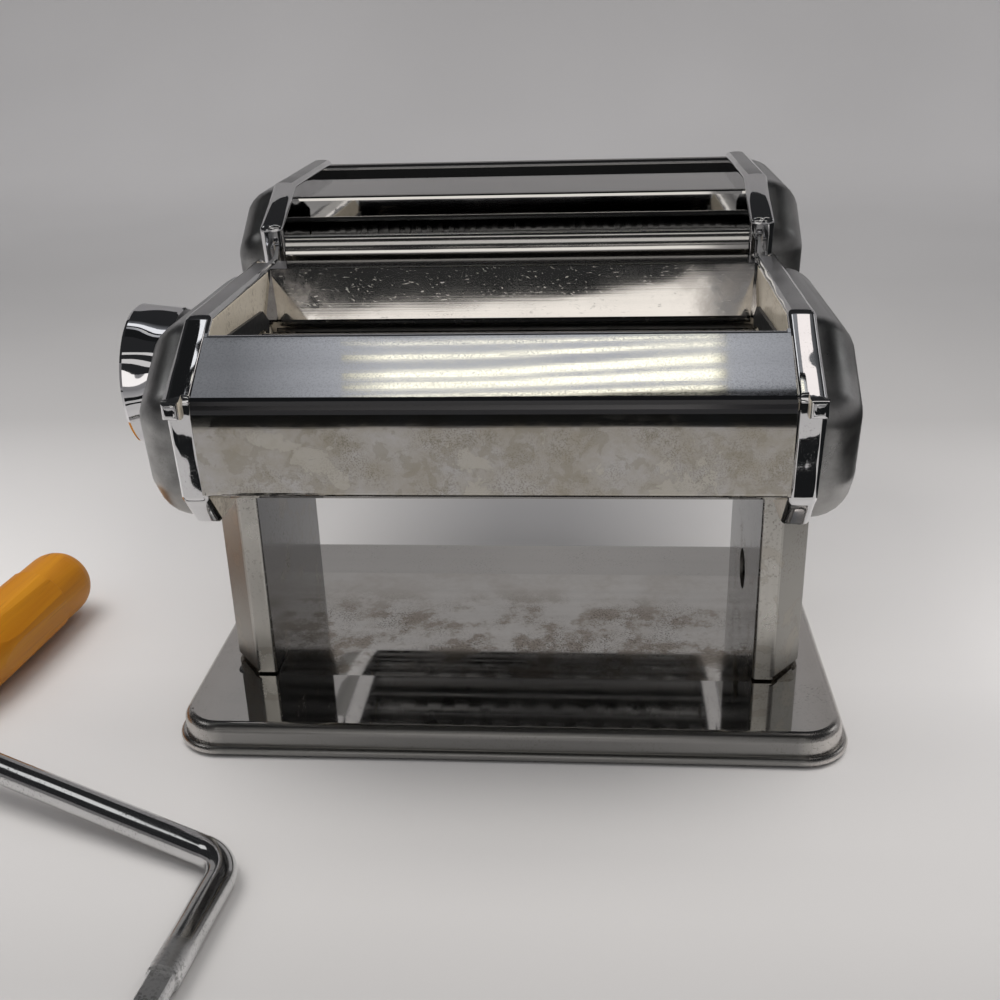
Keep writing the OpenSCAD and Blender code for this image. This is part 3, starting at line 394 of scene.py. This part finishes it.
SLOT_LOOKS = {
    "polished_base": base_polish(),
    "foot_rubber": dull("foot_rubber", (0.05, 0.05, 0.05), 0.8),
    "sheet_steel": cutter_steel(),
    "bright_frame": frame_chrome(),
    "satin_cap": cap_satin(),
    "guide_dark": dull("guide_dark", (0.03, 0.03, 0.03), 0.55),
    # Painted shade: the rollers and other inner pieces are tinted dark, as the roller well is dark
    "roller_steel": ground_steel("roller_ground_painted_shade", (0.26, 0.26, 0.26), 0.22),
    "inner_steel": ground_steel("inner_steel", (0.20, 0.20, 0.20), 0.36),
    "bush_brass": ground_steel("bush_brass", (0.72, 0.52, 0.22), 0.28),
    "knob_chrome": plated("knob_chrome", (0.72, 0.72, 0.74), 0.03, 0.0012, 90),
    "crank_chrome": crank_chrome(),
    "grip_wood": wood(),
}
LEG = leg_steel()
NODE_LOOKS = {
    "front_cover": front_cover_steel(),
    "stand_web": web_steel(),
    "hopper_plate": hopper_steel(),
    "cutter_front_bar": bar_steel(),
    "knob_cover": plated("knob_disc", (0.70, 0.70, 0.715), 0.11, 0.00012, 60),
    "left_leg": LEG,
    "right_leg": LEG,
}
for part in frame["record"]["subparts"]:
    mesh = NODES[part["node"]].data
    mesh.materials.clear()
    mesh.materials.append(NODE_LOOKS.get(part["node"], SLOT_LOOKS[part["material_slot"]]))


# Copies of the CAD's folded and plated pieces, with the rounded edges that they have

# An edge to round is longer than LONG; points closer than THIN are one; FLUSH is near enough to lie on a side
LONG, THIN, FLUSH = 0.0025, 0.000002, 0.00025
FOLD = math.radians(25)


def convex(edge):
    """An edge long and sharp enough to be rounded, on the outside of a fold."""
    return len(edge.link_faces) == 2 and edge.calc_face_angle_signed() > FOLD and edge.calc_length() > LONG


def on_outline(work):
    """A test for vertices on one side of a frame's outline, taken from its face towards the rollers."""
    inner = min(abs(v.co.x) for v in work.verts)
    flat = [v.co.yz for v in work.verts if abs(v.co.x) < inner + THIN]
    ring = [flat[i] for i in convex_hull_2d(flat)]
    sides = list(zip(ring, ring[1:] + ring[:1]))

    def near(point, a, b):
        foot, share = intersect_point_line(point, a, b)
        return (foot - point).length < FLUSH and -0.01 < share < 1.01

    def test(*verts):
        return any(all(near(v.co.yz, p, q) for v in verts) for p, q in sides)

    return test


def bevel(work, edges, width, steps):
    bmesh.ops.bevel(
        work, geom=edges, offset=width, offset_type="OFFSET", segments=steps, profile=0.5, affect="EDGES"
    )


def cut(work, place, normal):
    geometry = work.verts[:] + work.edges[:] + work.faces[:]
    bmesh.ops.bisect_plane(work, geom=geometry, plane_co=place, plane_no=normal)


BAND_R, BAND_STEPS = 0.0015, 4
CROWN, CROWN_STEPS = 0.0003, 6


def round_frame(work):
    """Rounded edges along the band, which is a little crowned across, and a soft nib."""
    test = on_outline(work)
    outline = [e for e in work.edges if convex(e) and test(*e.verts)]
    nose = min(v.co.y for e in outline for v in e.verts)
    nib = [e for e in work.edges if convex(e) and all(v.co.y < nose - FLUSH for v in e.verts)]
    bevel(work, outline + nib, BAND_R, BAND_STEPS)
    across = [v.co.x for v in work.verts if test(v)]
    low, high = min(across), max(across)
    for k in range(1, CROWN_STEPS):
        cut(work, (low + (high - low) * k / CROWN_STEPS, 0, 0), (1, 0, 0))
    work.normal_update()
    for v in [v for v in work.verts if test(v)]:
        share = (v.co.x - low) / (high - low)
        out = Vector((0, v.normal.y, v.normal.z)).normalized()
        v.co += out * CROWN * 4 * share * (1 - share)


SWELL, SWELL_STEPS = 0.00015, 8


def round_bar(work):
    """The bar's slanting front face swells a little between its two folds."""
    slanting = [f for f in work.faces if f.normal.y < -0.8 and f.normal.z > 0.2]
    slant = max(slanting, key=lambda f: f.calc_area())
    out, at = slant.normal.copy(), slant.verts[0].co.copy()
    low = min(v.co.z for v in slant.verts)
    high = max(v.co.z for v in slant.verts)
    for k in range(1, SWELL_STEPS):
        cut(work, (0, 0, low + (high - low) * k / SWELL_STEPS), (0, 0, 1))
    for v in work.verts:
        share = (v.co.z - low) / (high - low)
        if 0 < share < 1 and abs((v.co - at).dot(out)) < THIN:
            v.co += out * SWELL * 4 * share * (1 - share)


ROLL_DEPTH, ROLL_DROP, ROLL_STEPS = 0.017, 0.0008, 8


def roll_front(work):
    """The web's front edge rolls down a little towards the base."""
    front = min(v.co.y for v in work.verts)
    top = max(v.co.z for v in work.verts)
    for k in range(1, ROLL_STEPS + 1):
        cut(work, (0, front + ROLL_DEPTH * k / ROLL_STEPS, 0), (0, 1, 0))
    for v in work.verts:
        reach = (front + ROLL_DEPTH - v.co.y) / ROLL_DEPTH
        if v.co.z > top - FLUSH and reach > 0:
            v.co.z -= ROLL_DROP * reach**1.6


LEG_R, LEG_STEPS, LEG_FOLD_RISE = 0.0012, 3, 0.03


def fold_rise(edge):
    return abs(edge.verts[0].co.z - edge.verts[1].co.z)


def round_leg(work):
    """Soft folds down the leg."""
    upright = [e for e in work.edges if convex(e) and fold_rise(e) > LEG_FOLD_RISE]
    bevel(work, upright, LEG_R, LEG_STEPS)


def keep_edges(work):
    """Leaves the CAD's own edges, so that only the shading is smoothed."""


BODY_OF = {node: body for body, nodes in frame["record"]["behaviour"]["bodies"].items() for node in nodes}


def softened(node, rounding):
    """A copy of a CAD solid with softer edges and smooth shading, which stands for that node."""
    source = NODES[node]
    work = bmesh.new()
    work.from_mesh(source.data)
    bmesh.ops.remove_doubles(work, verts=work.verts, dist=THIN)
    bmesh.ops.dissolve_limit(work, angle_limit=math.radians(1), verts=work.verts, edges=work.edges)
    rounding(work)
    mesh = bpy.data.meshes.new(f"{node}_soft")
    work.to_mesh(mesh)
    work.free()
    if "custom_normal" in mesh.attributes:
        mesh.attributes.remove(mesh.attributes["custom_normal"])
    for face in mesh.polygons:
        face.use_smooth = True
    mesh.set_sharp_from_angle(angle=math.radians(38))
    mesh.materials.clear()
    mesh.materials.append(source.data.materials[0])
    piece = bpy.data.objects.new(f"{node}_soft", mesh)
    bpy.context.collection.objects.link(piece)
    weighted = piece.modifiers.new("flat_faces", "WEIGHTED_NORMAL")
    weighted.keep_sharp = True
    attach(piece, BODY_OF[node])
    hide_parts(node)
    return piece


SOFT = {
    round_frame: ("left_end_frame", "right_end_frame", "cutter_left_frame", "cutter_right_frame"),
    round_leg: ("left_leg", "right_leg"),
    round_bar: ("cutter_front_bar",),
    roll_front: ("stand_web",),
    keep_edges: ("left_end_cap", "right_end_cap", "cutter_left_cap", "cutter_right_cap"),
}
for rounding, names in SOFT.items():
    for node in names:
        softened(node, rounding)

# The knob's spring, which closes up towards its fixed end as the knob is pulled out, as a smoothed copy with a
# mesh of its own
spring = softened("knob_spring", keep_edges)
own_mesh(spring)


# Camera at the photograph's place

CAMERA_AT = Vector((0.02678, -0.36341, 0.21613))
YAW, PITCH, ROLL = (math.radians(a) for a in (-4.981, 23.400, -1.802))
ahead = Vector((math.sin(YAW) * math.cos(PITCH), math.cos(YAW) * math.cos(PITCH), -math.sin(PITCH)))
level = Vector((math.cos(YAW), -math.sin(YAW), 0))
upright = level.cross(ahead)
right = math.cos(ROLL) * level + math.sin(ROLL) * upright
above = -math.sin(ROLL) * level + math.cos(ROLL) * upright
camera = bpy.data.objects.new("camera", bpy.data.cameras.new("camera"))
camera.data.sensor_width = 36
camera.data.lens = 41.94
camera.data.clip_start = 0.01
camera.matrix_world = Matrix.Translation(CAMERA_AT) @ Matrix((right, above, -ahead)).transposed().to_4x4()
bpy.context.collection.objects.link(camera)
bpy.context.scene.camera = camera


# Floor, backdrop and the surroundings that the metal mirrors


def paper(colour):
    """Paper with a slow drift in tone, a painted pool of light beside the machine and on the backdrop, and painted
    shade in front, further back and far to the sides.
    """
    g = Graph("paper")
    across = g.fit(g.calc("ABSOLUTE", g.axis("X")), 0.8, 0.3)
    # Painted light beside the machine and on the backdrop; elsewhere the paper is darkened as painted shade
    beside = g.both(across, g.fit(g.axis("Y"), -0.16, -0.02), g.fit(g.axis("Y"), 0.25, 0.0))
    painted_light = g.calc("ADD", beside, g.fit(g.axis("Y"), 0.5, 1.1, 0.0, 0.62))
    drift = g.fit(g.noise(g.where, 2.2, 2), 0.3, 0.7, -0.1, 0.1)
    tone = g.blend(g.calc("ADD", painted_light, drift), shade(colour, 0.62), colour)
    g.surface(Base_Color=tone, Roughness=0.9)
    return g.material


class Glow(Graph):
    """A surface that gives off light of its own and mirrors nothing."""

    def __init__(self, name, colour):
        super().__init__(name)
        self.surface(Base_Color=(0, 0, 0, 1), Specular_IOR_Level=0.0, Emission_Color=(*colour, 1))

    def shine(self, strength):
        self.surface(Emission_Strength=strength)
        return self.material


def glowing(name, colour, strength):
    return Glow(name, colour).shine(strength)


def stage_mesh(name, corners, faces, material):
    mesh = bpy.data.meshes.new(name)
    mesh.from_pydata(corners, [], faces)
    mesh.materials.append(material)
    obj = bpy.data.objects.new(name, mesh)
    bpy.context.collection.objects.link(obj)
    for face in mesh.polygons:
        face.use_smooth = True
    return obj


def mirrored_only(obj):
    """Keeps a card or dome to reflections, so that it neither shows nor shades."""
    obj.visible_camera = False
    obj.visible_diffuse = False
    obj.visible_transmission = False
    obj.visible_shadow = False


SWEEP_START, SWEEP_R, SWEEP_TOP, SWEEP_STEPS = 0.95, 0.5, 1.2, 12
FLOOR_GAP = 0.0001
STAGE_HALF, STAGE_NEAR, WALL_TOP = 4.0, -4.0, 2.6
profile = [(STAGE_NEAR, WALL_TOP), (STAGE_NEAR, 0.0), (SWEEP_START, 0.0)]
for k in range(1, SWEEP_STEPS + 1):
    turn = math.pi / 2 * k / SWEEP_STEPS
    profile.append((SWEEP_START + SWEEP_R * math.sin(turn), SWEEP_R * (1 - math.cos(turn))))
profile.append((SWEEP_START + SWEEP_R, SWEEP_TOP))
corners = [(side * STAGE_HALF, y, z - FLOOR_GAP) for y, z in profile for side in (-1, 1)]
faces = [(2 * i, 2 * i + 1, 2 * i + 3, 2 * i + 2) for i in range(len(profile) - 1)]
PAPER = paper((0.81, 0.788, 0.770))
stage_mesh("floor", corners, faces, PAPER)
for side in (-1, 1):
    x, far = side * STAGE_HALF, SWEEP_START + SWEEP_R
    wall = [(x, STAGE_NEAR, 0), (x, far, 0), (x, far, WALL_TOP), (x, STAGE_NEAR, WALL_TOP)]
    stage_mesh(f"wall_{side}", wall, [(0, 1, 2, 3)], PAPER)


def card(name, middle, along, across, material):
    """A flat card that only reflections see."""
    m, a, b = Vector(middle), Vector(along) / 2, Vector(across) / 2
    mirrored_only(stage_mesh(name, [m - a - b, m + a - b, m + a + b, m - a + b], [(0, 1, 2, 3)], material))


def ceiling_glow():
    """A dim ceiling that falls off to a dark room on the camera's side."""
    g = Glow("ceiling", (0.93, 0.95, 1.0))
    across = g.fit(g.calc("ABSOLUTE", g.axis("X")), 1.5, 0.7)
    back = g.fit(g.axis("Y"), 1.1, 0.5)
    front = g.fit(g.axis("Y"), -0.5, -0.1)
    return g.shine(g.fit(g.both(across, back, front), 0, 1, 0.025, 0.27))


DOME_R, DOME_RIM, DOME_TILT, RINGS, SPOKES = 3.4, math.radians(19.8), math.radians(-5.5), 8, 48
tilt = Matrix.Rotation(DOME_TILT, 3, "Y")
dome = []
for i in range(RINGS):
    rise = DOME_RIM + (math.pi / 2 - DOME_RIM) * i / RINGS
    for k in range(SPOKES):
        spin = 2 * math.pi * k / SPOKES
        ring = Vector((math.cos(rise) * math.cos(spin), math.cos(rise) * math.sin(spin), math.sin(rise)))
        dome.append(tilt @ (DOME_R * ring))
dome.append(tilt @ Vector((0, 0, DOME_R)))
faces = []
for i in range(RINGS - 1):
    for k in range(SPOKES):
        nxt = (k + 1) % SPOKES
        faces.append((i * SPOKES + k, i * SPOKES + nxt, (i + 1) * SPOKES + nxt, (i + 1) * SPOKES + k))
last = (RINGS - 1) * SPOKES
faces += [(last + k, last + (k + 1) % SPOKES, len(dome) - 1) for k in range(SPOKES)]
mirrored_only(stage_mesh("ceiling", dome, faces, ceiling_glow()))

DARK = glowing("dark_card", (0.9, 0.95, 1.0), 0.012)
card("dark_floor", (0, -0.425, 0.0015), (2.4, 0, 0), (0, 0.18, 0), DARK)
card("dark_right", (0.84, -0.2, 0.0020), (1.2, 0, 0), (0, 1.6, 0), DARK)
card("dark_nose_left", (-0.168, -0.246, 0.0010), (0.13, 0, 0), (0, 0.038, 0), DARK)
card("streak", (-0.25, 0.14, 1.33), (0.34, 0, 0), (0, 0.16, 0), glowing("streak", (0.97, 0.98, 1.0), 1.1))
card("dark_nose_right", (0.125, -0.241, 0.0010), (0.13, 0, 0), (0, 0.046, 0), DARK)
card("left_panel", (-1.1, -0.12, 1.33), (0.5, 0, 0), (0, 0.6, 0), glowing("left_panel", (1, 1, 1), 0.9))
card("right_panel", (1.3, 0.45, 0.95), (-0.2, 0.5, 0), (0, 0, 0.45), glowing("right_panel", (1, 1, 1), 0.8))
HIGH_WINDOW = glowing("high_window", (1, 0.97, 0.94), 0.75)
card("high_window", (-0.2, -2.0, 1.38), (1.8, 0, 0), (0, 0, 0.46), HIGH_WINDOW)
card("top_window", (-0.2, -2.0, 2.45), (1.8, 0, 0), (0, 0, 0.40), HIGH_WINDOW)
card("flag_left", (-0.62, 0.13, 1.33), (0.38, 0, 0), (0, 0.22, 0), DARK)
card("flag_near", (-0.10, -0.195, 1.325), (1.1, 0.030, 0), (0, 0.24, 0), DARK)
card("flag_far", (-0.10, 0.030, 1.325), (0.75, 0.004, 0), (0, 0.05, 0), DARK)
WINDOW = glowing("window", (1.0, 0.96, 0.92), 1.25)
card("window", (-0.35, -3.3, 0.86), (1.5, 0, 0), (0, 0, 0.74), WINDOW)
SOFTBOX = glowing("softbox", (1.0, 0.93, 0.90), 1.2)
card("softbox", (0.34, 0.10, 1.33), (0.26, 0, 0), (0, 0.18, 0), SOFTBOX)


def panel_glow():
    """A ceiling panel that fades at its two ends."""
    g = Glow("panel", (0.97, 0.98, 1.0))
    ends = g.both(g.fit(g.axis("X"), -0.45, -0.25), g.fit(g.axis("X"), 0.40, 0.16))
    return g.shine(g.fit(ends, 0, 1, 0.25, 0.66))


card("panel", (-0.08, -0.036, 1.35), (0.9, 0, 0), (0, 0.12, 0), panel_glow())
STRIP_Z, STRIP_LEFT, STRIP_RIGHT = 1.33, -0.30, 0.195


def strip_glow():
    """A warm lamp strip that fades in slowly at its left end."""
    g = Glow("strip", (1.0, 0.94, 0.72))
    left = g.fit(g.axis("X"), STRIP_LEFT, STRIP_LEFT + 0.07)
    ends = g.both(left, g.fit(g.axis("X"), STRIP_RIGHT, STRIP_RIGHT - 0.02))
    return g.shine(g.fit(ends, 0, 1, 0.66, 2.3))


# Each lamp strip's place at its left and right end, and its width there
STRIPS = (
    (-0.006, 0.000, 0.002, 0.003),
    (-0.024, -0.009, 0.006, 0.004),
    (-0.047, -0.027, 0.007, 0.011),
    (-0.061, -0.047, 0.006, 0.012),
    (-0.075, -0.064, 0.003, 0.006),
)
STRIP_STEPS = 8
STRIP = strip_glow()
for k, (at_left, at_right, wide_left, wide_right) in enumerate(STRIPS):
    corners = []
    for i in range(STRIP_STEPS + 1):
        t = i / STRIP_STEPS
        x = STRIP_LEFT + (STRIP_RIGHT - STRIP_LEFT) * t
        y = at_left + (at_right - at_left) * t**1.5
        half = (wide_left + (wide_right - wide_left) * t) / 2
        corners += [(x, y - half, STRIP_Z), (x, y + half, STRIP_Z)]
    faces = [(2 * i, 2 * i + 1, 2 * i + 3, 2 * i + 2) for i in range(STRIP_STEPS)]
    mirrored_only(stage_mesh(f"strip_{k}", corners, faces, STRIP))


def lamp(name, place, target, size, power, colour):
    data = bpy.data.lights.new(name, "AREA")
    data.shape = "RECTANGLE"
    data.size, data.size_y = size
    data.energy = power
    data.color = colour
    obj = bpy.data.objects.new(name, data)
    obj.location = place
    obj.rotation_euler = (Vector(target) - Vector(place)).to_track_quat("-Z", "Y").to_euler()
    obj.visible_camera = False
    obj.visible_glossy = False
    bpy.context.collection.objects.link(obj)


LAMP_Y, LAMP_Z = -0.06, 0.62
for name, x in (("overhead_left", -0.30), ("overhead_right", 0.30)):
    lamp(name, (x, LAMP_Y, LAMP_Z), (x, LAMP_Y, 0), (0.35, 0.35), 1.7, (1.0, 0.98, 0.95))

world = bpy.data.worlds.new("world")
bpy.context.scene.world = world
world.use_nodes = True
sky = world.node_tree.nodes["Background"]
sky.inputs["Color"].default_value = (0.95, 0.96, 1.0, 1)
sky.inputs["Strength"].default_value = 0.72

bpy.context.scene.view_settings.view_transform = "Standard"
